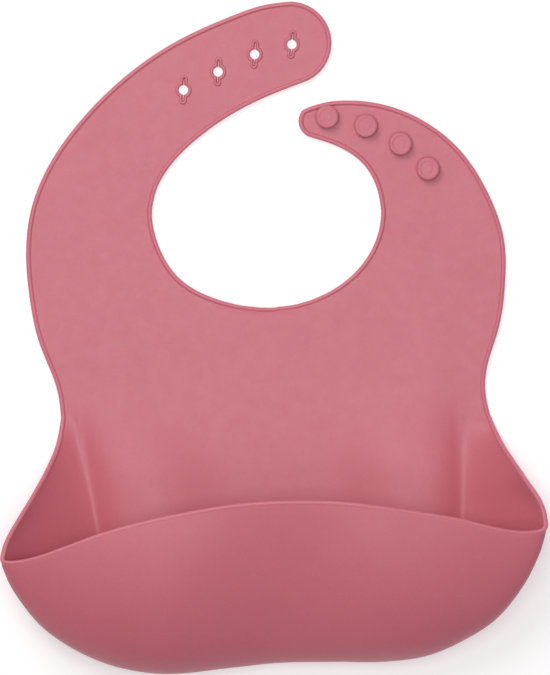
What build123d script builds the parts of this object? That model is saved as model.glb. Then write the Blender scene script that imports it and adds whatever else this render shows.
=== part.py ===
"""Silicone bib with a crumb catcher and a stud-and-slot neck fastening.

The bib lies on its back: +Z is up, out of its front face, +Y runs to the neck straps and +X to the
short strap. The origin is the middle of its footprint on the surface it lies on. Millimetres.
The real bib is one moulding. It is split here into the zones that bend against each other, and the
moulded features of each zone are solids of their own.
"""

import os
from math import atan2, degrees

from build123d import *

os.makedirs("parts", exist_ok=True)

# Driving dimensions

sheet = 1.8  # thickness of the silicone sheet
bead_width = 2.2  # thickened edge, measured inwards from the outline
bead_height = 2.9

# The straps bend about lines in the sheet's front face
root_y = 50.0  # the bend across both straps at the shoulders
sheet_gap = 0.55  # each side of a bend line
bead_gap = 1.2
zone_reach = 200.0  # half the size of the areas that cut the outline into zones

waist_y = -36.0  # where the side beads leave the flat sheet for the gussets

# The neck opening is an ellipse, open at the top between the straps
neck_center = (-3.8, 56.3)
neck_radius_x = 51.1
neck_radius_y = 43.0

# The bend across the long strap, from its inner to its outer edge
mid_bend_inner = Vector(-43.0, 79.0)
mid_bend_outer = Vector(-79.0, 105.0)

# Round end of the long strap
end_center = (6.7, 131.3)
end_radius = 18.5

# Round tip of the short strap
tip_center = (18.0, 96.5)
tip_radius = 7.6

# Slotted holes, from the shoulder to the strap's end, as x, y and the slot's lean in degrees
buttonholes = [(-40.8, 110.4, -3), (-25.4, 118.5, -3), (-9.1, 126.3, -4), (7.5, 130.7, -5)]
hole_radius = 2.4
slot_width = 0.9
slot_length = 10.4
collar_wall = 1.4
collar_height = 0.7

# Studs, from the strap's tip to the shoulder
studs = [(23.2, 98.3), (40.5, 94.3), (55.9, 86.3), (68.2, 75.2)]
stud_head_radius = 5.2
stud_head_height = 2.2
stud_stem_radius = 2.6
stud_stem_height = 2.4
stud_recess_radius = 3.4
stud_recess_depth = 0.3

# Catcher
wall = 1.8  # thickness of its walls
rim_radius = 1.5
rim_gap = 0.3  # between a wall's end and its rim

# Creases between the chest panel and the gussets, from the waist down to the fold
left_crease = [(-84.0, waist_y), (-79.0, -70.0), (-75.0, -95.0), (-69.0, -127.0)]
right_crease = [(78.5, waist_y), (80.5, -70.0), (79.0, -95.0), (73.0, -121.0)]
panel_bottom = [(-50.0, -136.5), (0.0, -133.5), (48.0, -132.3)]

# Front wall, from left to right: x, rim y, rim z, bulge y, bulge z, foot z
front_stations = [
    (-115.0, -100.0, 35.0, -112.5, 30.0, 25.0),
    (-104.0, -96.5, 38.0, -129.0, 23.0, 14.0),
    (-84.0, -89.5, 41.0, -142.5, 16.0, 2.5),
    (-50.0, -80.0, 44.0, -149.8, 12.0, 0.0),
    (0.0, -73.0, 46.0, -144.7, 10.0, 0.0),
    (48.0, -75.0, 45.0, -144.5, 11.0, 0.0),
    (82.0, -80.5, 42.0, -135.5, 16.0, 2.5),
    (104.0, -86.0, 38.0, -121.0, 23.0, 14.0),
    (115.5, -86.5, 35.0, -105.0, 30.0, 25.0),
]

# Gussets, from the waist to the catcher's corner and on down inside it:
# y, x at the crease, x and z at the outer edge
left_gusset_stations = [
    (-37.0, -84.6, -93.6, 2.4),
    (-58.0, -81.4, -101.0, 12.0),
    (-80.0, -77.9, -112.0, 25.0),
    (-97.0, -75.2, -119.3, 34.0),
    (-110.0, -73.0, -111.0, 23.5),
    (-122.0, -71.0, -99.0, 13.0),
]
right_gusset_stations = [
    (-37.0, 79.1, 94.2, 2.4),
    (-52.0, 80.1, 101.5, 12.0),
    (-68.0, 81.0, 112.0, 25.0),
    (-83.5, 80.3, 119.3, 34.0),
    (-97.0, 79.3, 113.5, 26.0),
    (-110.0, 76.5, 104.0, 16.0),
]


def finish(part, name):
    """Names a piece and writes it to its own file."""
    part.label = name
    export_step(part, f"parts/{name}.step")


def area(x, y, width, height):
    """A plain rectangle, centred on x and y, that cuts sketches into zones."""
    return Pos(x, y) * Rectangle(width, height, mode=Mode.PRIVATE)


def half_plane(origin, direction):
    """A large square on the side of a bend line that direction points to."""
    turn = degrees(atan2(direction.Y, direction.X))
    middle = origin + direction.normalized() * zone_reach
    return Pos(middle.X, middle.Y) * Rot(0, 0, turn) * area(0, 0, 2 * zone_reach, 2 * zone_reach)


# Bend lines, as an origin and the direction in which the strap runs on

root_line = Vector(0, root_y)
root_run = Vector(0, 1)
mid_line = (mid_bend_inner + mid_bend_outer) * 0.5
mid_run = (mid_bend_outer - mid_bend_inner).rotate(Axis.Z, -90).normalized()

# Areas that tell the zones and the strips of edge apart

everywhere = area(0, 0, 4 * zone_reach, 4 * zone_reach)
above_waist = area(0, waist_y + 1 + zone_reach, 4 * zone_reach, 2 * zone_reach)
left_of_neck = area(neck_center[0] - zone_reach, 0, 2 * zone_reach, 4 * zone_reach)
neck_surround = area(neck_center[0], 55, 2 * neck_radius_x + 12, 2 * neck_radius_y + 12)
left_edge_area = area(-85 - zone_reach, 0, 2 * zone_reach, 4 * zone_reach)
right_edge_area = area(75 + zone_reach, 0, 2 * zone_reach, 4 * zone_reach)
stud_side = Polygon((5, 0), (5, 109), (30, 109), (150, 130), (150, 0), align=None)
base_inner_area = Polygon((-80, 50), (-35, 50), (-35, 79), (-55, 92), align=None)


def zone(gap, name):
    """The area of one zone of the flat sheet, kept clear of its bend lines by gap."""
    above_root = half_plane(root_line + root_run * gap, root_run)
    below_root = half_plane(root_line - root_run * gap, root_run * -1)
    past_mid = half_plane(mid_line + mid_run * gap, mid_run)
    before_mid = half_plane(mid_line - mid_run * gap, mid_run * -1)
    if name == "chest":
        return below_root
    if name == "hole_strap_base":
        return above_root & before_mid & left_of_neck
    if name == "hole_strap_end":
        return (above_root & past_mid) - stud_side
    return above_root & stud_side


# Outline of the flat sheet, and the same outline without its thickened edge

with BuildSketch() as outline:
    with BuildLine():
        left_side = Spline(
            (-95.4, waist_y),
            (-97.0, -24.0),
            (-104.8, -3.3),
            (-109.3, 16.7),
            (-111.0, 38.0),
            (-108.8, 56.9),
            (-100.8, 76.9),
            (-86.5, 97.0),
            (-66.0, 117.1),
            (-46.8, 130.5),
            (-18.3, 143.8),
            (end_center[0], end_center[1] + end_radius),
            tangents=((-0.02, 1), (1, 0)),
            tangent_scalars=(1, 1),
        )
        strap_end = CenterArc(end_center, end_radius, 90, -158)
        strap_inner = Spline(
            strap_end @ 1,
            (-11.6, 103.7),
            (-32.6, 90.3),
            (-46.4, 76.9),
            (-53.3, 64.5),
            (neck_center[0] - neck_radius_x, neck_center[1]),
            tangents=(strap_end % 1, (0, -1)),
            tangent_scalars=(1, 1),
        )
        neck = EllipticalCenterArc(neck_center, neck_radius_x, neck_radius_y, 180, arc_size=180)
        tip_arc = CenterArc(tip_center, tip_radius, 249, -152)
        tip_inner = Spline(
            neck @ 1,
            (45.7, 65.5),
            (39.7, 76.9),
            (31.0, 83.7),
            tip_arc @ 0,
            tangents=((0, 1), tip_arc % 0),
            tangent_scalars=(1, 1),
        )
        right_side = Spline(
            tip_arc @ 1,
            (31.7, 105.4),
            (49.1, 103.7),
            (65.6, 97.0),
            (82.5, 83.6),
            (95.4, 63.6),
            (102.1, 43.5),
            (102.6, 25.0),
            (99.5, 3.3),
            (94.6, -13.0),
            (93.9, -25.0),
            (96.4, waist_y),
            tangents=(tip_arc % 1, (0.3, -1)),
            tangent_scalars=(1, 1),
        )
        Line(right_side @ 1, left_side @ 0)
    make_face()


def inset(edge, count=14):
    """A curve that runs inside an edge of the outline, one bead's width away from it."""
    steps = [number / (count - 1) for number in range(count)]
    points = [edge @ step + (edge % step).rotate(Axis.Z, -90) * bead_width for step in steps]
    return Spline(*points, tangents=(edge % 0, edge % 1), tangent_scalars=(1, 1))


with BuildSketch() as inside_bead:
    with BuildLine():
        first = inset(left_side)
        CenterArc(end_center, end_radius - bead_width, 90, -158)
        inset(strap_inner)
        inset(neck)
        inset(tip_inner)
        CenterArc(tip_center, tip_radius - bead_width, 249, -152)
        last = inset(right_side)
        Line(last @ 1, first @ 0)
    make_face()


# Chest panel, down to the fold at the bottom of the catcher

chest_shape = inside_bead.sketch & zone(sheet_gap, "chest")

with BuildPart() as chest_panel:
    with BuildSketch():
        add(chest_shape)
        with BuildLine():
            left_edge = Spline(*left_crease)
            bottom = Spline(left_crease[-1], *panel_bottom, right_crease[-1])
            right_edge = Spline(*right_crease)
            Line(right_crease[0], left_crease[0])
        make_face()
    extrude(amount=sheet)
finish(chest_panel.part, "chest_panel")


# The straps' sheets and the strips of thickened edge round all four zones

def zone_sheet(zone_name):
    """The plain sheet of one strap zone."""
    shape = inside_bead.sketch & zone(sheet_gap, zone_name)
    with BuildPart() as piece:
        with BuildSketch():
            add(shape)
        extrude(amount=sheet)
    return piece.part


def zone_bead(zone_name, side):
    """The strip of thickened edge in the part of the zone that lies inside side."""
    shape = (outline.sketch & zone(bead_gap, zone_name) & side) - inside_bead.sketch
    with BuildPart() as piece:
        with BuildSketch():
            add(shape)
        extrude(amount=bead_height)
    return piece.part


finish(zone_bead("chest", neck_surround), "neck_bead")
finish(zone_bead("chest", left_edge_area & above_waist), "left_side_bead")
finish(zone_bead("chest", right_edge_area & above_waist), "right_side_bead")

finish(zone_sheet("hole_strap_base"), "hole_strap_base")
finish(zone_bead("hole_strap_base", everywhere - base_inner_area), "hole_strap_base_outer_bead")
finish(zone_bead("hole_strap_base", base_inner_area), "hole_strap_base_inner_bead")
finish(zone_bead("hole_strap_end", everywhere), "hole_strap_end_bead")

finish(zone_sheet("stud_strap"), "stud_strap")
finish(zone_bead("stud_strap", everywhere), "stud_strap_bead")


# End of the long strap, with its slotted holes and their raised collars

with BuildSketch() as slotted_hole:
    Circle(hole_radius)
    SlotOverall(slot_length, slot_width, rotation=90)

with BuildSketch() as collar_ring:
    Circle(hole_radius + collar_wall)
    SlotOverall(slot_length + 2 * collar_wall, slot_width + 2 * collar_wall, rotation=90)
    add(slotted_hole.sketch, mode=Mode.SUBTRACT)

hole_places = [Pos(x, y) * Rot(0, 0, lean) for x, y, lean in buttonholes]
end_shape = inside_bead.sketch & zone(sheet_gap, "hole_strap_end")

with BuildPart() as hole_strap_end:
    with BuildSketch():
        add(end_shape)
        for place in hole_places:
            add(place * slotted_hole.sketch, mode=Mode.SUBTRACT)
    extrude(amount=sheet)
finish(hole_strap_end.part, "hole_strap_end")

for number, place in enumerate(hole_places, start=1):
    with BuildPart() as collar:
        with BuildSketch(Plane.XY.offset(sheet)):
            add(place * collar_ring.sketch)
        extrude(amount=collar_height)
    finish(collar.part, f"buttonhole_collar_{number}")


# Studs: a stem, and a round head with a shallow recess in its top

for number, (x, y) in enumerate(studs, start=1):
    with BuildPart(Plane.XY.offset(sheet)) as stud:
        with Locations((x, y)):
            Cylinder(
                stud_stem_radius,
                stud_stem_height,
                align=(Align.CENTER, Align.CENTER, Align.MIN),
            )
        with Locations((x, y, stud_stem_height)):
            Cylinder(
                stud_head_radius,
                stud_head_height,
                align=(Align.CENTER, Align.CENTER, Align.MIN),
            )
        fillet(stud.edges().filter_by(GeomType.CIRCLE).group_by(Axis.Z)[-1], 0.7)
        with Locations((x, y, stud_stem_height + stud_head_height)):
            Cylinder(
                stud_recess_radius,
                2 * stud_recess_depth,
                mode=Mode.SUBTRACT,
            )
    finish(stud.part, f"stud_{number}")


# Front wall of the catcher: a bowed sheet lofted from left to right

with BuildPart() as catcher_front:
    for x, rim_y, rim_z, bulge_y, bulge_z, foot_z in front_stations:
        end_y = rim_y - rim_radius - rim_gap
        foot_y = bulge_y + 0.85 * (bulge_z - foot_z)
        crown = (0.62 * bulge_y + 0.38 * rim_y, 0.32 * bulge_z + 0.68 * rim_z)
        with BuildSketch(Plane.YZ.offset(x)):
            with BuildLine():
                outer = Spline(
                    (foot_y, foot_z),
                    (bulge_y, bulge_z),
                    crown,
                    (end_y, rim_z),
                    tangents=((-1, 0.25), (1, 0.25)),
                )
                inner = Spline(
                    (foot_y, foot_z + wall),
                    (bulge_y + wall, bulge_z),
                    (crown[0] + 0.5 * wall, crown[1] - 0.87 * wall),
                    (end_y, rim_z - wall),
                    tangents=((-1, 0.25), (1, 0.25)),
                )
                Line(outer @ 0, inner @ 0)
                Line(outer @ 1, inner @ 1)
            make_face()
    loft()
finish(catcher_front.part, "catcher_front")

with BuildPart() as catcher_rim:
    for x, rim_y, rim_z, bulge_y, bulge_z, foot_z in front_stations:
        with BuildSketch(Plane.YZ.offset(x)):
            with Locations((rim_y, rim_z - 0.5 * wall)):
                Circle(rim_radius)
    loft()
finish(catcher_rim.part, "catcher_rim")


# Gussets: flared side walls from the creases up to their free edges

def gusset(stations, side):
    """A thin flared wall. side is -1 on the left and 1 on the right."""
    with BuildPart() as piece:
        for y, crease_x, edge_x, edge_z in stations:
            width = abs(edge_x - crease_x)
            with BuildSketch(Plane.XZ.offset(-y)):
                with BuildLine():
                    under = Spline(
                        (side * 0.3 + crease_x, 0),
                        (crease_x + side * 0.5 * width, 0.40 * edge_z),
                        (edge_x, edge_z),
                    )
                    over = Spline(
                        (side * 0.3 + crease_x, wall),
                        (crease_x + side * (0.5 * width - 0.5), 0.40 * edge_z + wall),
                        (edge_x - side * 0.9, edge_z + 1.2),
                    )
                    Line(under @ 0, over @ 0)
                    Line(under @ 1, over @ 1)
                make_face()
        loft(ruled=True)
    return piece.part


def gusset_bead(stations, side):
    """The thickened free edge of a gusset, from the waist to the catcher's corner."""
    with BuildPart() as piece:
        for y, crease_x, edge_x, edge_z in stations[:4]:
            with BuildSketch(Plane.XZ.offset(-y)):
                with Locations((edge_x + side * 1.1, edge_z + 1.9)):
                    Circle(rim_radius)
        loft(ruled=True)
    return piece.part


finish(gusset(left_gusset_stations, -1), "left_gusset")
finish(gusset(right_gusset_stations, 1), "right_gusset")
finish(gusset_bead(left_gusset_stations, -1), "left_gusset_bead")
finish(gusset_bead(right_gusset_stations, 1), "right_gusset_bead")
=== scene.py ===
"""Looks of the silicone bib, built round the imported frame.

The bib is one moulding, so the sheet, its straps and the catcher are one skin of real thickness. It
starts as a single-layer surface, which thicken() turns into a closed solid with a raised, rounded
edge, and part_of() then cuts it where the straps bend. The buttonholes' lips and the studs are pieces
of their own. Design lengths are in millimetres, and every mesh is made in metres in the frame's axes.
"""

import math

import bmesh
import bpy
import numpy as np
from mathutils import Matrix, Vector, geometry


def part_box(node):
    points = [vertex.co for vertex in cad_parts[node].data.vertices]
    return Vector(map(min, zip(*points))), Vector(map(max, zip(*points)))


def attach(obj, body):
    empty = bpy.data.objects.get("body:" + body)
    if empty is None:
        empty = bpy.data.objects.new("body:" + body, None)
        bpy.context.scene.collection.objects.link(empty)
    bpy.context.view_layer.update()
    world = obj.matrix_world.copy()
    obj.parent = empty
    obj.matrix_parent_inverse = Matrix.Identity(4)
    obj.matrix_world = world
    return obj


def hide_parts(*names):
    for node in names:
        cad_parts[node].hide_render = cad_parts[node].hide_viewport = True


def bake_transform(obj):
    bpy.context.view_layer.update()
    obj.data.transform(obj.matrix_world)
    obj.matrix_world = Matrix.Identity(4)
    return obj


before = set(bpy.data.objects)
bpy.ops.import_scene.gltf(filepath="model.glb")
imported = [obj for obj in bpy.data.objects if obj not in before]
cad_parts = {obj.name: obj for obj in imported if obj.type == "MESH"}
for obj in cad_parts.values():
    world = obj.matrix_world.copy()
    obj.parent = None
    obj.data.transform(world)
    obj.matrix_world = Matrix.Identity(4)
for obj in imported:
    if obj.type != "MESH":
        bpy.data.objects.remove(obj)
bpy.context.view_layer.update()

MM = 0.001

# The sheet's top, as the CAD has it, and the rounded edge
SHEET_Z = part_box("chest_panel")[1].z / MM
HALF = SHEET_Z / 2
EDGE_REACH = 2.4  # from the skin's last row to the outermost line of the rounded edge
RIM_HALF = 1.1  # half the thickness of the catcher's rim
RAMP = 1.0  # width of the slope up to the bead
RIM_RAMP = 0.4  # how much wider that slope is on the rim
BEAD_RISE = 0.8  # how far the flat sheet's bead stands above its front face

ROW = 1.8  # spacing of points along an outline
FILL = 2.0  # spacing of points inside a skin

CAMERA_HEIGHT = 4.0  # metres


# Curves

def run_along(line):
    """Distance along a line at each of its points."""
    return np.concatenate([[0], np.cumsum(np.linalg.norm(np.diff(line, axis=0), axis=1))])


def points_at(line, run, goal):
    """Points of a line at the distances of goal, where run gives the distance of each of its points."""
    return np.stack([np.interp(goal, run, line[:, k]) for k in range(line.shape[1])], axis=1)


def smooth_curve(points, count=None, step=ROW):
    """Points on a natural cubic spline through the given points, evenly spaced along it."""
    p = np.array(points, float)
    t = run_along(p)
    gaps = np.linalg.norm(np.diff(p, axis=0), axis=1)
    n = len(p)
    a = np.eye(n)
    b = np.zeros_like(p)
    for i in range(1, n - 1):
        h0, h1 = gaps[i - 1], gaps[i]
        a[i, i - 1 : i + 2] = h0, 2 * (h0 + h1), h1
        b[i] = 6 * ((p[i + 1] - p[i]) / h1 - (p[i] - p[i - 1]) / h0)
    m = np.linalg.solve(a, b)

    def at(x):
        i = np.clip(np.searchsorted(t, x, side="right") - 1, 0, n - 2)
        h = gaps[i][:, None]
        u = ((x - t[i])[:, None]) / h
        curve = (1 - u) * p[i] + u * p[i + 1]
        curve += h * h / 6 * (((1 - u) ** 3 - (1 - u)) * m[i] + (u**3 - u) * m[i + 1])
        return curve

    fine = at(np.linspace(0, t[-1], 60 * n))
    run = run_along(fine)
    if count is None:
        count = max(2, int(round(run[-1] / step)) + 1)
    return points_at(fine, run, np.linspace(0, run[-1], count))


def arc(centre, radius_x, radius_y, start, sweep, step=ROW):
    """Points on an arc of an ellipse, in the plane."""
    count = int(abs(math.radians(sweep)) * max(radius_x, radius_y) / step) + 2
    turn = np.radians(np.linspace(start, start + sweep, count))
    x, y = centre[0] + radius_x * np.cos(turn), centre[1] + radius_y * np.sin(turn)
    return np.stack([x, y], axis=1)


def joined(*runs):
    """Runs of points as one line, without the doubled points where they meet."""
    line = [np.array(runs[0])]
    for run in runs[1:]:
        line.append(np.array(run)[1:])
    return np.concatenate(line)


def side_normals(line):
    """Unit normals on the right-hand side of a line in the plane."""
    along = np.gradient(line, axis=0)
    along /= np.linalg.norm(along, axis=1)[:, None]
    return np.stack([along[:, 1], -along[:, 0]], axis=1)


def even(line, step=ROW):
    """The same line with evenly spaced points."""
    run = run_along(line)
    return points_at(line, run, np.linspace(0, run[-1], max(2, int(round(run[-1] / step)) + 1)))


def step_between(value, low, high):
    """0 at low, 1 at high, smooth between."""
    t = np.clip((value - low) / (high - low), 0, 1)
    return t * t * (3 - 2 * t)


# Outline of the flat sheet, near the CAD's, clockwise with the sheet on the right. Its points were read
# off the photograph's silhouette and scaled to millimetres.

ROOT_Y = 50.0  # where both straps bend off the chest
NECK_CENTRE = (-3.8, 56.3)
NECK_RADII = (51.1, 43.0)
NECK_FULLNESS = 0.029  # how much further out the neck's lower left reaches than its ellipse
FULLEST_TURN = 224
FULLNESS_SPREAD = 19
END_CENTRE = (6.7, 131.3)
END_RADIUS = 18.5
END_SWEEP = -158
TIP_CENTRE = (18.0, 96.5)
TIP_RADIUS = 7.6
TIP_START, TIP_SWEEP = 249, -112
MID_INNER = np.array((-43.0, 79.0))
MID_OUTER = np.array((-79.0, 105.0))
MID_LINE = (MID_INNER + MID_OUTER) / 2
MID_RUN = np.array((MID_OUTER[1] - MID_INNER[1], MID_INNER[0] - MID_OUTER[0]))
MID_RUN /= np.linalg.norm(MID_RUN)

LEFT_EDGE = [
    (-95.4, -36.0),
    (-97.0, -24.0),
    (-104.8, -3.3),
    (-109.3, 16.7),
    (-111.0, 38.0),
    (-108.8, 56.9),
    (-100.8, 76.9),
    (-86.5, 97.0),
    (-66.0, 117.1),
    (-46.8, 130.5),
    (-18.3, 143.8),
    (-5.0, 148.2),
    (END_CENTRE[0], END_CENTRE[1] + END_RADIUS),
]
STRAP_INNER = [
    (-11.6, 103.7),
    (-32.6, 90.3),
    (-46.4, 76.9),
    (-53.3, 64.5),
    (NECK_CENTRE[0] - NECK_RADII[0], NECK_CENTRE[1]),
]
TIP_INNER = [(45.7, 65.5), (39.7, 76.9), (31.0, 83.7)]
RIGHT_EDGE = [
    (16.8, 103.3),
    (23.3, 105.0),
    (31.7, 105.7),
    (49.1, 103.7),
    (65.6, 97.0),
    (82.5, 83.6),
    (95.4, 63.6),
    (102.1, 43.5),
    (102.6, 25.0),
    (99.5, 3.3),
    (94.6, -13.0),
    (93.9, -25.0),
    (96.4, -36.0),
]


def flat_outline():
    """The whole edge of the flat sheet, from the left end of the waist to the right end."""
    end = arc(END_CENTRE, END_RADIUS, END_RADIUS, 90, END_SWEEP)
    neck = arc(NECK_CENTRE, *NECK_RADII, 180, 180)
    turns = np.linspace(180, 360, len(neck))
    fuller = 1 + NECK_FULLNESS * np.exp(-(((turns - FULLEST_TURN) / FULLNESS_SPREAD) ** 2))
    neck = np.array(NECK_CENTRE) + (neck - np.array(NECK_CENTRE)) * fuller[:, None]
    tip = arc(TIP_CENTRE, TIP_RADIUS, TIP_RADIUS, TIP_START, TIP_SWEEP)
    return even(
        joined(
            smooth_curve(LEFT_EDGE),
            end,
            smooth_curve([end[-1], *STRAP_INNER]),
            neck,
            smooth_curve([neck[-1], *TIP_INNER, tip[0]]),
            tip,
            smooth_curve([tip[-1], *RIGHT_EDGE]),
        )
    )


# The catcher. Each row: K, where the section leaves the panel's crease (x, y), C, its outermost line
# seen from the front (x, y, z), and B, its free edge (x, y, z). On the gussets C and B are the same.
# C and B are placed as the camera sees them on the floor, and seen_at() brings them in by their height.

GUSSET_LEFT = [
    ((-88.0, -36.0), (-95.4, -36.0, 0.0)),
    ((-86.6, -48.0), (-97.7, -49.0, 5.0)),
    ((-84.4, -60.0), (-102.4, -60.5, 12.5)),
    ((-82.2, -72.0), (-108.6, -72.0, 21.0)),
    ((-80.3, -82.0), (-114.7, -82.0, 28.0)),
    ((-79.0, -90.0), (-119.3, -90.0, 33.0)),
    ((-78.0, -96.0), (-121.5, -97.0, 35.0)),
]
FRONT = [
    ((-76.8, -102.0), (-121.3, -104.0, 33.0), (-117.9, -100.1, 35.8)),
    ((-75.0, -110.0), (-113.1, -117.0, 27.0), (-105.7, -97.9, 38.0)),
    ((-71.0, -120.0), (-101.9, -129.7, 22.0), (-92.0, -93.0, 40.3)),
    ((-66.0, -129.0), (-85.8, -140.1, 17.0), (-76.0, -87.0, 42.0)),
    ((-57.0, -135.5), (-67.9, -146.7, 13.5), (-58.0, -82.0, 43.5)),
    ((-42.0, -138.0), (-47.0, -149.2, 12.0), (-38.8, -77.8, 44.6)),
    ((-20.0, -136.5), (-20.0, -146.5, 10.5), (-18.0, -74.3, 45.6)),
    ((2.0, -134.5), (2.0, -144.2, 10.0), (4.0, -72.8, 46.0)),
    ((26.0, -134.0), (26.0, -143.8, 10.5), (27.0, -73.0, 45.6)),
    ((47.0, -133.3), (49.0, -143.7, 11.5), (46.0, -75.0, 44.8)),
    ((61.0, -129.0), (68.0, -141.0, 14.5), (63.0, -77.5, 43.2)),
    ((70.5, -121.0), (85.1, -133.6, 18.5), (80.0, -80.3, 41.5)),
    ((76.8, -111.5), (98.9, -124.2, 23.0), (95.0, -84.0, 39.3)),
    ((80.8, -101.0), (110.0, -110.4, 28.0), (107.0, -86.1, 37.3)),
    ((82.8, -92.0), (116.9, -97.0, 32.0), (115.0, -86.0, 36.0)),
    ((83.6, -86.0), (120.2, -87.5, 34.0), (118.6, -84.8, 35.2)),
]
GUSSET_RIGHT = [
    ((84.0, -80.0), (120.8, -81.4, 35.0)),
    ((84.3, -72.0), (118.3, -73.2, 31.0)),
    ((84.3, -64.0), (112.0, -64.0, 24.5)),
    ((84.0, -56.0), (106.5, -55.8, 16.0)),
    ((83.6, -48.0), (101.5, -47.5, 8.5)),
    ((83.0, -36.0), (96.4, -36.0, 0.0)),
]
ACROSS = 300  # sections
ALONG = 46  # points along each
CORNER_ROUNDING = 16  # smoothing passes near the two corners
CORNER_SPREAD = 0.9  # how many rows of the tables they reach
BASE_POINTS = 70
WALL_POINTS = 109
LEFT_BOWL, RIGHT_BOWL = 0.5, 0.65  # how round a gusset's section is, where 0 is straight
FULL_FRONT = 50.0  # a front wall this long makes the section quite round
SHORT_FRONT = 8.0  # where the front wall is shorter than this, the base ends less steep
LIFT_FALL = 7  # how fast the panel's swelling dies away past the crease
ROUND_MEAN, ROUND_CHANGE = 0.78, 0.16  # how round the front wall is, and how that changes across
ROUND_SHIFT, ROUND_WAVE = 62, 125  # millimetres across the bib


def section(k, c, e, lift):
    """A curve from the crease k through the silhouette c to the free edge e."""
    front = np.linalg.norm(e - c)
    reach = 0.9 + 0.1 * min(1.0, front / SHORT_FRONT)
    share = np.sin(np.linspace(0, 1, BASE_POINTS) * math.pi / 2)
    bowl = LEFT_BOWL if c[0] < 0 else RIGHT_BOWL
    bowl += (1 - bowl) * min(1.0, front / FULL_FRONT)

    def rise(x):
        return (1 - bowl) * x + bowl * (1 - np.sqrt(np.maximum(0, 1 - x * x)))

    base = np.zeros((BASE_POINTS, 3))
    base[:, :2] = k + share[:, None] * (c[:2] - k)
    base[:, 2] = c[2] * rise(share * reach) / rise(reach) + lift * (1 - share) ** LIFT_FALL
    if front < 0.05:
        return base
    turn = np.linspace(0, 1, WALL_POINTS + 1)[1:] * math.pi / 2
    wall = np.zeros((WALL_POINTS, 3))
    wall[:, :2] = c[:2] + (1 - np.cos(turn))[:, None] * (e[:2] - c[:2])
    wave = math.cos(2 * math.pi * (c[0] + ROUND_SHIFT) / ROUND_WAVE)
    round_share = ROUND_MEAN + ROUND_CHANGE * wave
    lift_share = round_share * np.sin(turn) + (1 - round_share) * (1 - np.cos(turn))
    wall[:, 2] = c[2] + (e[2] - c[2]) * lift_share
    return np.concatenate([base, wall])


def spread(table, count):
    """Rows between the table's rows, on Catmull-Rom curves."""
    n = len(table)
    places = np.linspace(0, n - 1, count)
    i = np.clip(np.floor(places).astype(int), 0, n - 2)
    u = (places - i)[:, None]
    p0, p1 = table[np.maximum(i - 1, 0)], table[i]
    p2, p3 = table[i + 1], table[np.minimum(i + 2, n - 1)]
    return 0.5 * (
        2 * p1
        + (p2 - p0) * u
        + (2 * p0 - 5 * p1 + 4 * p2 - p3) * u**2
        + (3 * p1 - p0 - 3 * p2 + p3) * u**3
    )


def seen_at(point):
    """The place of a point that the camera sees at (x, y) on the floor, at its height z."""
    x, y, z = point
    nearer = 1 - z * MM / CAMERA_HEIGHT
    return x * nearer, y * nearer, z


def catcher_grid():
    """Points of the catcher. Row 0 lies on the crease, and the last row where the rounded edge begins."""
    rows = [(k, b, b) for k, b in GUSSET_LEFT] + FRONT + [(k, b, b) for k, b in GUSSET_RIGHT]
    table = [(*k, *seen_at(c), *seen_at(b)) for k, c, b in rows]
    grid = np.zeros((ALONG, ACROSS, 3))
    for i, row in enumerate(spread(np.array(table), ACROSS)):
        lift = panel_rise(row[0], row[1])
        curve = section(row[:2], row[2:5], row[5:8], lift)
        run = run_along(curve)
        grid[:, i] = points_at(curve, run, np.linspace(0, 1, ALONG) * (run[-1] - EDGE_REACH))
    grid[:, :, 2] += HALF
    stations = len(table) - 1
    place = np.linspace(0, stations, ACROSS)
    for corner in (len(GUSSET_LEFT) - 0.5, stations - len(GUSSET_RIGHT) + 0.5):
        near = np.exp(-(((place - corner) / CORNER_SPREAD) ** 2))[None, :, None]
        for _ in range(CORNER_ROUNDING):
            softer = grid.copy()
            softer[:, 1:-1] = grid[:, 1:-1] / 2 + (grid[:, 2:] + grid[:, :-2]) / 4
            grid = grid + near * (softer - grid)
    return grid


# Soft waves of the panel, in millimetres above its flat rest. The creases are lists of (y, x).

SWELL = 4.6
RIDGE = 0.9  # a soft rib along each crease
RIDGE_WIDTH = 2.1
FLANK_WIDTH = 6.0
WAVE_LIFT = 0.39  # keeps the uneven panel above its flat rest
LEFT_CREASE = [(-138.0, -66.0), (-120.0, -71.0), (-96.0, -78.0), (-72.0, -82.2), (-36.0, -88.0)]
RIGHT_CREASE = [
    (-138.0, 62.0),
    (-121.0, 70.5),
    (-101.0, 80.8),
    (-80.0, 84.0),
    (-64.0, 84.3),
    (-36.0, 83.0),
]


def crease_x(y, crease):
    """Where a crease runs, at height y of the panel."""
    return np.interp(y, [c[0] for c in crease], [c[1] for c in crease])


def flank(inward):
    """The swelling's share of its height, by distance inward from a crease."""
    steep = 1 - np.exp(-np.maximum(0, inward - 1.0) / FLANK_WIDTH)
    return steep * (1 - step_between(inward, 24.0, 66.0))


def rib(distance):
    """Height of the soft rib, by distance from its crease."""
    return RIDGE * np.exp(-((distance / RIDGE_WIDTH) ** 2))


def panel_rise(x, y):
    """Height of the panel's swelling beside the creases, and its slight unevenness."""
    window = step_between(-y, 18.0, 62.0) * (1 - step_between(-y, 106.0, 130.0))
    from_left = x - crease_x(y, LEFT_CREASE)
    from_right = crease_x(y, RIGHT_CREASE) - x
    swelling = SWELL * (flank(from_left) + flank(from_right))
    ridges = rib(from_left) + rib(from_right)
    wave = 0.24 * np.sin(x / 25.0 + 0.4) * np.sin(y / 38.0 + 1.1)
    wave += 0.15 * np.sin(x / 15.0 - y / 44.0 + 2.0)
    inside = (1 - step_between(y, 8.0, 40.0)) * (1 - step_between(np.abs(x), 66.0, 88.0))
    inside = inside * step_between(y, -134.0, -112.0)
    return window * (swelling + ridges) + (wave + WAVE_LIFT) * inside


# Buttonholes: a round hole on a slit, in a raised lip

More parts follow.
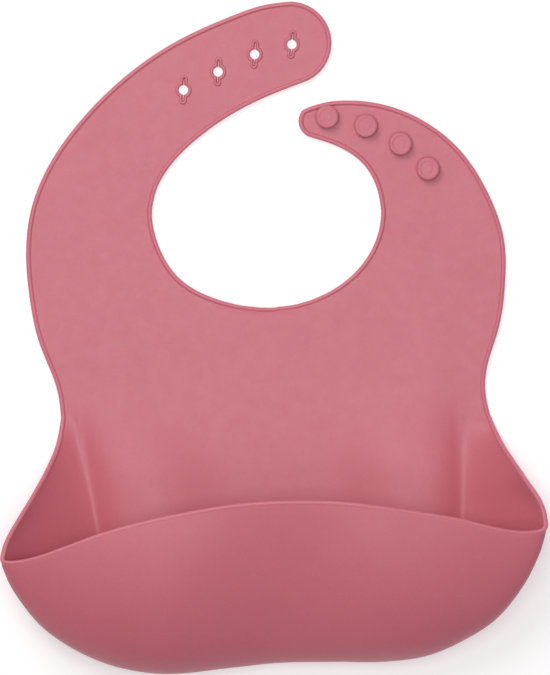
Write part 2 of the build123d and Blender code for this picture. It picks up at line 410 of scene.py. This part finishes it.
HOLES = [
    (-40.8, 110.4, -3.0),
    (-25.4, 118.5, -3.0),
    (-9.1, 126.3, -4.0),
    (7.5, 130.7, -5.0),
]
HOLE_RADIUS = 2.35
SLIT_HALF_LENGTH = 5.2
SLIT_HALF_WIDTH = 0.4
SLIT_BLEND = 0.6  # how softly the round hole runs into the slit
CROWDING = 0.36  # how strongly an outline's points crowd towards the slit's ends
HALVINGS = 40  # steps of the search for a line
FARTHEST = 12.0  # further from a hole's centre than any of its lines
LIP_WIDTH = 1.3
LIP_HEIGHT = 0.85
LIP_SINK = 0.12  # the lip's edges lie this deep in the sheet
LIP_SHARES = (0.0, 0.05, 0.12, 0.22, 0.34, 0.46, 0.58, 0.7, 0.8, 0.88, 0.94, 0.98, 1.0)
LIP_FOOT = 0.02  # height of the lip's back
LIP_SKIRT = 0.5  # height of its outer wall's lower end
LIP_WAIST = 0.9  # height where the throat begins
THROAT = 0.28  # the hole narrows by this on each side, below its lip


def slit_gap(x, y):
    """Distance from a buttonhole's outline, softened where the slit meets the round hole."""
    a = np.hypot(x, y) - HOLE_RADIUS
    past_end = np.maximum(0, np.abs(y) - SLIT_HALF_LENGTH + SLIT_HALF_WIDTH)
    b = np.hypot(x, past_end) - SLIT_HALF_WIDTH
    h = np.clip(0.5 + 0.5 * (b - a) / SLIT_BLEND, 0, 1)
    return b * (1 - h) + a * h - SLIT_BLEND * h * (1 - h) * 0.55


def slit_ring(gap, count=96):
    """Turns about a buttonhole's centre, and for each the radius of the line at gap from its outline."""
    t = np.linspace(0, 2 * math.pi, count, endpoint=False)
    turns = t + CROWDING * np.sin(2 * t)
    low, high = np.full(count, 0.05), np.full(count, FARTHEST)
    for _ in range(HALVINGS):
        mid = (low + high) / 2
        outside = slit_gap(mid * np.cos(turns), mid * np.sin(turns)) > gap
        high = np.where(outside, mid, high)
        low = np.where(outside, low, mid)
    return turns, (low + high) / 2


def placed(points, hole):
    """Plane points of a buttonhole, turned and moved to its place."""
    x, y, lean = hole
    c, s = math.cos(math.radians(lean)), math.sin(math.radians(lean))
    p = np.array(points, float)
    return np.column_stack([x + c * p[:, 0] - s * p[:, 1], y + s * p[:, 0] + c * p[:, 1]])


def around(turns, radii):
    """Plane points at radii, one for each turn."""
    return np.column_stack([radii * np.cos(turns), radii * np.sin(turns)])


def band(a, b, n):
    """Faces between two rings of n vertices each, ring a and ring b."""
    faces = []
    for i in range(n):
        j = (i + 1) % n
        faces.append((a * n + i, a * n + j, b * n + j, b * n + i))
    return faces


def lip(name, hole):
    """The raised lip of a buttonhole, a closed ring that stands through the sheet."""
    turns, inner = slit_ring(0.0)
    _, outer = slit_ring(LIP_WIDTH)
    rings = []
    for share in LIP_SHARES:
        ring = around(turns, inner + (outer - inner) * share)
        d = np.clip(slit_gap(*ring.T) / LIP_WIDTH, 0, 1)
        crown = np.clip(1 - np.abs(2 * d - 1) ** 2.6, 0, 1) ** 0.6
        z = SHEET_Z - LIP_SINK + (LIP_HEIGHT + LIP_SINK) * crown
        rings.append(np.column_stack([placed(ring, hole), z]))
    under = rings[-1].copy()
    under[:, 2] = LIP_SKIRT
    _, throat = slit_ring(-THROAT)
    narrow = placed(around(turns, throat), hole)
    foot = np.column_stack([narrow, np.full(len(turns), LIP_FOOT)])
    waist = np.column_stack([narrow, np.full(len(turns), LIP_WAIST)])
    back = 0.35 * rings[-1] + 0.65 * rings[0]
    back[:, 2] = LIP_FOOT
    loops = [*rings, under, back, foot, waist]
    verts = [tuple(p * MM) for ring in loops for p in ring]
    polys = []
    for a in range(len(loops)):
        polys += band(a, (a + 1) % len(loops), len(turns))
    return new_object(name, verts, polys)


# Studs

STUDS = [(23.2, 98.3), (40.5, 94.3), (55.9, 86.3), (68.2, 75.2)]
STUD_PROFILE = [  # radius, height: flared stem, underside, rounded head, and its shallow ring
    (3.55, 1.55),
    (3.3, 1.95),
    (2.85, 2.3),
    (2.62, 2.7),
    (2.6, 3.2),
    (2.75, 3.5),
    (3.3, 3.66),
    (4.6, 3.7),
    (4.98, 3.82),
    (5.17, 4.1),
    (5.22, 4.5),
    (5.18, 5.1),
    (5.05, 5.5),
    (4.75, 5.78),
    (4.3, 5.9),
    (3.75, 5.93),
    (3.55, 5.9),
    (3.3, 5.84),
    (3.1, 5.82),
    (2.3, 5.82),
    (2.05, 5.85),
    (1.85, 5.88),
    (0.9, 5.89),
]
STUD_ROWS = 74
STUD_SIDES = 72


def stud(name, place):
    """A stud: a turned profile on the strap, closed above and below."""
    profile = smooth_curve(STUD_PROFILE, count=STUD_ROWS)
    n = STUD_SIDES
    turns = np.linspace(0, 2 * math.pi, n, endpoint=False)
    verts = []
    for r, z in profile:
        for x, y in around(turns, r) + place:
            verts.append((x * MM, y * MM, z * MM))
    polys = []
    for a in range(len(profile) - 1):
        polys += band(a, a + 1, n)
    top = len(verts)
    verts.append((place[0] * MM, place[1] * MM, profile[-1][1] * MM))
    base = len(verts)
    verts.append((place[0] * MM, place[1] * MM, profile[0][1] * MM))
    last = (len(profile) - 1) * n
    for i in range(n):
        j = (i + 1) % n
        polys.append((last + i, last + j, top))
        polys.append((j, i, base))
    return new_object(name, verts, polys)


# From a single layer to a closed skin

def inside_loops(points, loops):
    """Which points lie inside the loops taken together, by the even-odd rule."""
    hit = np.zeros(len(points), bool)
    x, y = points[:, 0], points[:, 1]
    for loop in loops:
        following = np.roll(loop, -1, axis=0)
        for (x0, y0), (x1, y1) in zip(loop, following):
            if y0 == y1:
                continue
            crosses = (y0 > y) != (y1 > y)
            hit ^= crosses & (x < (x1 - x0) * (y - y0) / (y1 - y0) + x0)
    return hit


ROW_RISE = 0.87  # rows of a triangular pattern, as a share of its spacing
CLEAR = 0.6  # how far inner points keep from a loop, as a share of the spacing


def fill(loops):
    """Triangles that fill closed loops in the plane, with even points inside. Loop points come first."""
    rim = np.concatenate(loops)
    low, high = rim.min(0), rim.max(0)
    rows = []
    for j, y in enumerate(np.arange(low[1], high[1], FILL * ROW_RISE)):
        shift = FILL / 2 * (j % 2)
        rows += [(x + shift, y) for x in np.arange(low[0], high[0], FILL)]
    rows = np.array(rows)
    rows = rows[inside_loops(rows, loops)]
    gaps = np.array([np.min(np.hypot(*(rim - p).T)) for p in rows])
    points = np.concatenate([rim, rows[gaps > FILL * CLEAR]])
    edges, first = [], 0
    for loop in loops:
        ids = list(range(first, first + len(loop)))
        edges += list(zip(ids, ids[1:] + ids[:1]))
        first += len(loop)
    out = geometry.delaunay_2d_cdt([Vector(p) for p in points], edges, [], 0, 1e-7, True)
    origin = [min(old) for old in out[3]]
    faces = np.array([[origin[v] for v in f] for f in out[2]])
    a, b, c = (points[faces[:, i]] for i in range(3))
    turn = (b[:, 0] - a[:, 0]) * (c[:, 1] - a[:, 1]) - (b[:, 1] - a[:, 1]) * (c[:, 0] - a[:, 0])
    faces[turn < 0] = faces[turn < 0][:, ::-1]
    return points, faces[inside_loops(points[faces].mean(axis=1), loops)]


def vertex_normals(points, faces):
    """Area-weighted normals of a mesh."""
    normals = np.zeros_like(points)
    for f in faces:
        p = points[list(f)]
        n = np.cross(p[2] - p[0], p[-1] - p[1] if len(f) == 4 else p[1] - p[0])
        n = n if len(f) == 4 else -n
        for v in f:
            normals[v] += n
    return normals / np.linalg.norm(normals, axis=1)[:, None]


def bead_profile(rolled):
    """Cross-section of the rounded edge: steps out from the skin's last row, and heights about the
    skin's middle. rolled is 0 for the flat sheet's bead, which stands on its front face, and 1 for the
    catcher's rim, which stands on both."""
    top = HALF + BEAD_RISE + rolled * (RIM_HALF - HALF - BEAD_RISE)
    low = -HALF - rolled * (RIM_HALF - HALF)
    middle, half = (top + low) / 2, (top - low) / 2
    ramp = RAMP + RIM_RAMP * rolled
    start = 0.05
    steps = np.array([0.0, 0.1, 0.25, 0.4, 0.55, 0.7, 0.85, 1.0])
    ease = steps * steps * (3 - 2 * steps)
    rise = np.column_stack([start + ramp * steps, HALF + (top - HALF) * ease])
    fall = np.column_stack([start + ramp * steps, -HALF + (low + HALF) * ease])[::-1]
    corner = start + ramp + 0.12
    turns = np.linspace(math.pi / 2, -math.pi / 2, 15)
    c, sn = np.cos(turns), np.sin(turns)
    reach = EDGE_REACH - corner
    height = middle + half * np.sign(sn) * np.abs(sn) ** 0.95
    nose = np.column_stack([corner + reach * c**0.9, height])
    return np.concatenate([rise, nose, fall])


EDGE_SMOOTHING = 14  # passes that even out where the rounded edge points


def thicken(name, points, faces, rim, holes):
    """A closed skin round a single layer. rim is its closed outer loop of vertices, clockwise, which
    gets the rounded edge, and holes are loops that are closed straight through."""
    count = len(points)
    normals = vertex_normals(points, faces)
    verts = list(points + normals * HALF) + list(points - normals * HALF)
    polys = [tuple(f) for f in faces] + [tuple(count + v for v in reversed(f)) for f in faces]
    p, n = points[rim], normals[rim]
    along = np.roll(p, -1, axis=0) - np.roll(p, 1, axis=0)
    out = np.cross(n, along)
    for _ in range(EDGE_SMOOTHING):
        out /= np.linalg.norm(out, axis=1)[:, None]
        out = out * 0.5 + 0.25 * (np.roll(out, 1, axis=0) + np.roll(out, -1, axis=0))
    out /= np.linalg.norm(out, axis=1)[:, None]
    columns = []
    for i, v in enumerate(rim):
        profile = bead_profile(step_between(p[i, 2], 2.0, 20.0))
        ids = list(range(len(verts), len(verts) + len(profile)))
        verts += [p[i] + out[i] * u + n[i] * h for u, h in profile]
        columns.append([v, *ids, count + v])
    for a, b in zip(columns, columns[1:] + columns[:1]):
        for i in range(len(a) - 1):
            polys.append((a[i], a[i + 1], b[i + 1], b[i]))
    for loop in holes:
        for a, b in zip(loop, loop[1:] + loop[:1]):
            polys.append((a, b, count + b, count + a))
    obj = new_object(name, [tuple(v * MM) for v in verts], polys)
    mark_edges(obj, 2 * len(faces), len(rim) * (len(columns[0]) - 1))
    return obj


SHARP = math.radians(55)  # edges that turn by more are shaded sharp


def new_object(name, verts, polys):
    """A mesh object with outward faces, shaded smooth."""
    mesh = bpy.data.meshes.new(name)
    mesh.from_pydata(verts, [], polys)
    obj = bpy.data.objects.new(name, mesh)
    bpy.context.scene.collection.objects.link(obj)
    bm = bmesh.new()
    bm.from_mesh(mesh)
    bmesh.ops.recalc_face_normals(bm, faces=bm.faces)
    for f in bm.faces:
        f.smooth = True
    for e in bm.edges:
        if len(e.link_faces) == 2 and e.calc_face_angle() > SHARP:
            e.smooth = False
    bm.to_mesh(mesh)
    bm.free()
    return obj


def mark_edges(obj, first, count):
    """Gives the faces of the rounded edge the second material, a lighter silicone that paints their
    highlight.
    """
    for face in obj.data.polygons[first : first + count]:
        face.material_index = 1


def part_of(source, name, seed, cuts):
    """A copy of source without what lies behind each cut (point, direction), and only its piece
    nearest to seed, with the cuts closed flat."""
    bm = bmesh.new()
    bm.from_mesh(source.data)
    for point, run in cuts:
        bmesh.ops.bisect_plane(
            bm,
            geom=[*bm.verts, *bm.edges, *bm.faces],
            dist=1e-7,
            plane_co=(point[0] * MM, point[1] * MM, 0),
            plane_no=(run[0], run[1], 0),
            clear_inner=True,
        )
    place = Vector((seed[0] * MM, seed[1] * MM, SHEET_Z * MM))
    first = min(bm.verts, key=lambda v: (v.co - place).length)
    kept, waiting = {first}, [first]
    while waiting:
        for e in waiting.pop().link_edges:
            for v in e.verts:
                if v not in kept:
                    kept.add(v)
                    waiting.append(v)
    bmesh.ops.delete(bm, geom=[v for v in bm.verts if v not in kept], context="VERTS")
    open_edges = [e for e in bm.edges if e.is_boundary]
    caps = bmesh.ops.holes_fill(bm, edges=open_edges, sides=0)["faces"]
    for f in caps:
        f.smooth = False
    for e in open_edges:
        e.smooth = False
    bmesh.ops.recalc_face_normals(bm, faces=bm.faces)
    mesh = bpy.data.meshes.new(name)
    bm.to_mesh(mesh)
    bm.free()
    obj = bpy.data.objects.new(name, mesh)
    bpy.context.scene.collection.objects.link(obj)
    return obj


def whole_moulding():
    """The sheet, its catcher and its edge as one skin."""
    grid = catcher_grid()
    outline = flat_outline()
    inner = outline + side_normals(outline) * EDGE_REACH
    crease = grid[0, ::-1, :2]
    flat_rim = inner[1:-1]
    border = [grid[-1, 0, :2], *flat_rim, *grid[:0:-1, -1, :2], *crease, *grid[1:-1, 0, :2]]
    ring = np.array(border)
    lip_line = around(*slit_ring(LIP_WIDTH / 2, count=48))
    hole_loops = [placed(lip_line, hole) for hole in HOLES]
    plane, faces = fill([ring, *hole_loops])
    z = HALF + panel_rise(plane[:, 0], plane[:, 1])
    n = len(flat_rim)
    z[: n + 1] = HALF
    points = np.column_stack([plane, z])

    # Vertex numbers of the catcher's grid, which shares its border with the flat part
    ids = np.full((ALONG, ACROSS), -1)
    ids[-1, 0] = 0
    right = 1 + n
    ids[:0:-1, -1] = np.arange(right, right + ALONG - 1)
    first = right + ALONG - 1
    ids[0, ::-1] = np.arange(first, first + ACROSS)
    first += ACROSS
    ids[1:-1, 0] = np.arange(first, first + ALONG - 2)
    new = ids < 0
    ids[new] = np.arange(len(points), len(points) + new.sum())
    points = np.concatenate([points, np.zeros((new.sum(), 3))])
    points[ids.ravel()] = grid.reshape(-1, 3)
    faces = [tuple(int(v) for v in f) for f in faces]
    for j in range(ALONG - 1):
        for i in range(ACROSS - 1):
            corners = (ids[j, i], ids[j + 1, i], ids[j + 1, i + 1], ids[j, i + 1])
            faces.append(tuple(int(v) for v in corners))
    rim = [0, *range(1, n + 1), *(int(v) for v in ids[-1, ::-1][:-1])]
    holes, first = [], len(ring)
    for loop in hole_loops:
        holes.append(list(range(first, first + len(loop))))
        first += len(loop)
    return thicken("whole", points, faces, rim, holes)


# Materials

def silicone(name, colour, deeper, rough, speck):
    """Satin moulded silicone: fine mottling, a faint bloom of dust, and a slightly uneven surface."""
    material = bpy.data.materials.new(name)
    material.use_nodes = True
    nodes, links = material.node_tree.nodes, material.node_tree.links
    shader = nodes["Principled BSDF"]
    shader.inputs["Subsurface Weight"].default_value = 0.18
    shader.inputs["Subsurface Radius"].default_value = (1.0, 0.35, 0.35)
    shader.inputs["Subsurface Scale"].default_value = 0.0016
    shader.inputs["IOR"].default_value = 1.41
    shader.inputs["Specular IOR Level"].default_value = 0.62
    shader.inputs["Sheen Weight"].default_value = 0.05
    shader.inputs["Sheen Roughness"].default_value = 0.5
    place = nodes.new("ShaderNodeTexCoord")

    def cloud(scale, detail, low, high):
        """A noise texture, and its values stretched from low and high to 0 and 1."""
        texture = nodes.new("ShaderNodeTexNoise")
        texture.inputs["Scale"].default_value = scale
        texture.inputs["Detail"].default_value = detail
        links.new(place.outputs["Object"], texture.inputs["Vector"])
        ramp = nodes.new("ShaderNodeMapRange")
        ramp.inputs["From Min"].default_value = low
        ramp.inputs["From Max"].default_value = high
        links.new(texture.outputs["Fac"], ramp.inputs["Value"])
        return texture, ramp

    _, broad = cloud(22.0, 3.0, 0.3, 0.7)
    _, fine = cloud(900.0, 4.0, 0.35, 0.65)
    tint = nodes.new("ShaderNodeMix")
    tint.data_type = "RGBA"
    tint.inputs["A"].default_value = (*deeper, 1)
    tint.inputs["B"].default_value = (*colour, 1)
    links.new(broad.outputs["Result"], tint.inputs["Factor"])
    grain = nodes.new("ShaderNodeMix")
    grain.data_type = "RGBA"
    grain.blend_type = "MULTIPLY"
    grain.inputs["B"].default_value = (0.965, 0.955, 0.955, 1)
    links.new(fine.outputs["Result"], grain.inputs["Factor"])
    links.new(tint.outputs["Result"], grain.inputs["A"])

    dust, bloom = cloud(260.0, 2.0, 0.66, 0.78)
    bloom.inputs["To Max"].default_value = 0.16 * speck
    pale = nodes.new("ShaderNodeMix")
    pale.data_type = "RGBA"
    pale.inputs["B"].default_value = (0.72, 0.42, 0.44, 1)
    links.new(bloom.outputs["Result"], pale.inputs["Factor"])
    links.new(grain.outputs["Result"], pale.inputs["A"])
    links.new(pale.outputs["Result"], shader.inputs["Base Color"])

    _, gloss = cloud(220.0, 4.0, 0.3, 0.7)
    gloss.inputs["To Min"].default_value = rough - 0.02
    gloss.inputs["To Max"].default_value = rough + 0.03
    links.new(gloss.outputs["Result"], shader.inputs["Roughness"])

    skin, _ = cloud(1500.0, 3.0, 0.3, 0.7)
    bump = nodes.new("ShaderNodeBump")
    bump.inputs["Strength"].default_value = 0.16
    bump.inputs["Distance"].default_value = 0.00012
    links.new(skin.outputs["Fac"], bump.inputs["Height"])
    swell, _ = cloud(45.0, 2.0, 0.3, 0.7)
    slow = nodes.new("ShaderNodeBump")
    slow.inputs["Strength"].default_value = 0.012
    slow.inputs["Distance"].default_value = 0.0012
    links.new(swell.outputs["Fac"], slow.inputs["Height"])
    links.new(bump.outputs["Normal"], slow.inputs["Normal"])
    links.new(slow.outputs["Normal"], shader.inputs["Normal"])
    return material


SHEET = silicone("rose_silicone", (0.60, 0.150, 0.198), (0.58, 0.140, 0.187), 0.46, 0.3)
# A lighter copy of the sheet's silicone: painted highlight on the rounded edge and the buttonhole lips.
EDGE_HIGHLIGHT = silicone("rose_silicone_edge_painted_highlight", (0.65, 0.180, 0.232), (0.63, 0.170, 0.220), 0.44, 0.15)
# A slightly lighter copy of the sheet's silicone: painted light on the studs.
STUD_PAINTED_LIGHT = silicone("rose_silicone_stud_painted_light", (0.61, 0.155, 0.205), (0.59, 0.145, 0.195), 0.46, 0.2)

# Pieces. The skins part a little before each bend line, so that a bend has room on both sides.

BEFORE_BEND = 6.0

whole = whole_moulding()
root_up = ((0.0, ROOT_Y - BEFORE_BEND), (0.0, 1.0))
root_down = ((0.0, ROOT_Y - BEFORE_BEND), (0.0, -1.0))
mid_start = MID_LINE - MID_RUN * BEFORE_BEND
mid_on = (mid_start, MID_RUN)
mid_back = (mid_start, -MID_RUN)

body = part_of(whole, "bib_body", (0.0, -20.0), [root_down])
strap_root = part_of(whole, "long_strap_root", (-82.0, 60.0), [root_up, mid_back])
strap_slots = part_of(whole, "long_strap_slots", (-40.0, 125.0), [root_up, mid_on])
strap_studs = part_of(whole, "short_strap", (75.0, 60.0), [root_up])
bpy.data.objects.remove(whole)


for piece in (body, strap_root, strap_slots, strap_studs):
    piece.data.materials.append(SHEET)
    piece.data.materials.append(EDGE_HIGHLIGHT)

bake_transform(body)
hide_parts("chest_panel", "neck_bead", "left_side_bead", "right_side_bead")
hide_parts("left_gusset", "right_gusset", "left_gusset_bead", "right_gusset_bead")
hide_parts("catcher_front", "catcher_rim")

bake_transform(strap_root)
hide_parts("hole_strap_base", "hole_strap_base_outer_bead", "hole_strap_base_inner_bead")

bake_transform(strap_slots)
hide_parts("hole_strap_end", "hole_strap_end_bead")

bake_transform(strap_studs)
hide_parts("stud_strap", "stud_strap_bead")

for number, hole in enumerate(HOLES, 1):
    piece = lip(f"buttonhole_lip_{number}", hole)
    # The lip gets the lighter silicone, a painted highlight.
    piece.data.materials.append(EDGE_HIGHLIGHT)
    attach(piece, "hole_strap_end")
    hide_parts(f"buttonhole_collar_{number}")

for number, place in enumerate(STUDS, 1):
    piece = stud(f"stud_knob_{number}", place)
    piece.data.materials.append(STUD_PAINTED_LIGHT)
    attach(piece, "stud_strap")
    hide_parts(f"stud_{number}")

# Stage, light and camera

FLOOR_REACH = 3.0
FLOOR_Z = -0.0004
floor_mesh = bpy.data.meshes.new("floor")
floor_corners = [(x * FLOOR_REACH, y * FLOOR_REACH, 0) for x, y in ((-1, -1), (1, -1), (1, 1), (-1, 1))]
floor_mesh.from_pydata(floor_corners, [], [(0, 1, 2, 3)])
floor = bpy.data.objects.new("floor", floor_mesh)
floor.location.z = FLOOR_Z
bpy.context.scene.collection.objects.link(floor)
paper = bpy.data.materials.new("white_paper")
paper.use_nodes = True
paper_shader = paper.node_tree.nodes["Principled BSDF"]
paper_shader.inputs["Base Color"].default_value = (0.62, 0.62, 0.62, 1)
paper_shader.inputs["Roughness"].default_value = 0.9
paper_shader.inputs["Emission Color"].default_value = (1, 1, 1, 1)
paper_shader.inputs["Emission Strength"].default_value = 0.45
floor_mesh.materials.append(paper)


AIM = Vector((0, 0, 0.01))


def soft_light(name, place, size, watts):
    """A large soft light aimed at the bib."""
    data = bpy.data.lights.new(name, "AREA")
    data.shape = "DISK"
    data.size = size
    data.energy = watts
    light = bpy.data.objects.new(name, data)
    light.location = place
    light.rotation_euler = (AIM - Vector(place)).to_track_quat("-Z", "Y").to_euler()
    light.visible_camera = False
    bpy.context.scene.collection.objects.link(light)


soft_light("key_light", (-0.45, 0.85, 1.25), 0.9, 10.8)
soft_light("over_light", (0.0, 0.06, 1.6), 0.8, 10.9)
soft_light("front_light", (0.0, -0.6, 1.4), 0.5, 1.5)

world = bpy.data.worlds.new("studio")
bpy.context.scene.world = world
world.use_nodes = True
sky = world.node_tree.nodes["Background"]
sky.inputs["Color"].default_value = (1, 1, 1, 1)
sky.inputs["Strength"].default_value = 0.16

FRAME_HEIGHT = 0.30105  # what the picture's long side spans on the floor
SENSOR = 36.0
camera_data = bpy.data.cameras.new("camera")
camera_data.sensor_fit = "VERTICAL"
camera_data.sensor_height = SENSOR
camera_data.sensor_width = SENSOR
camera_data.lens = SENSOR * CAMERA_HEIGHT / FRAME_HEIGHT
camera_data.clip_start = 0.1
camera_data.clip_end = 20.0
camera = bpy.data.objects.new("camera", camera_data)
camera.location = (0, 0, CAMERA_HEIGHT)
bpy.context.scene.collection.objects.link(camera)
bpy.context.scene.camera = camera
bpy.context.scene.view_settings.view_transform = "Standard"
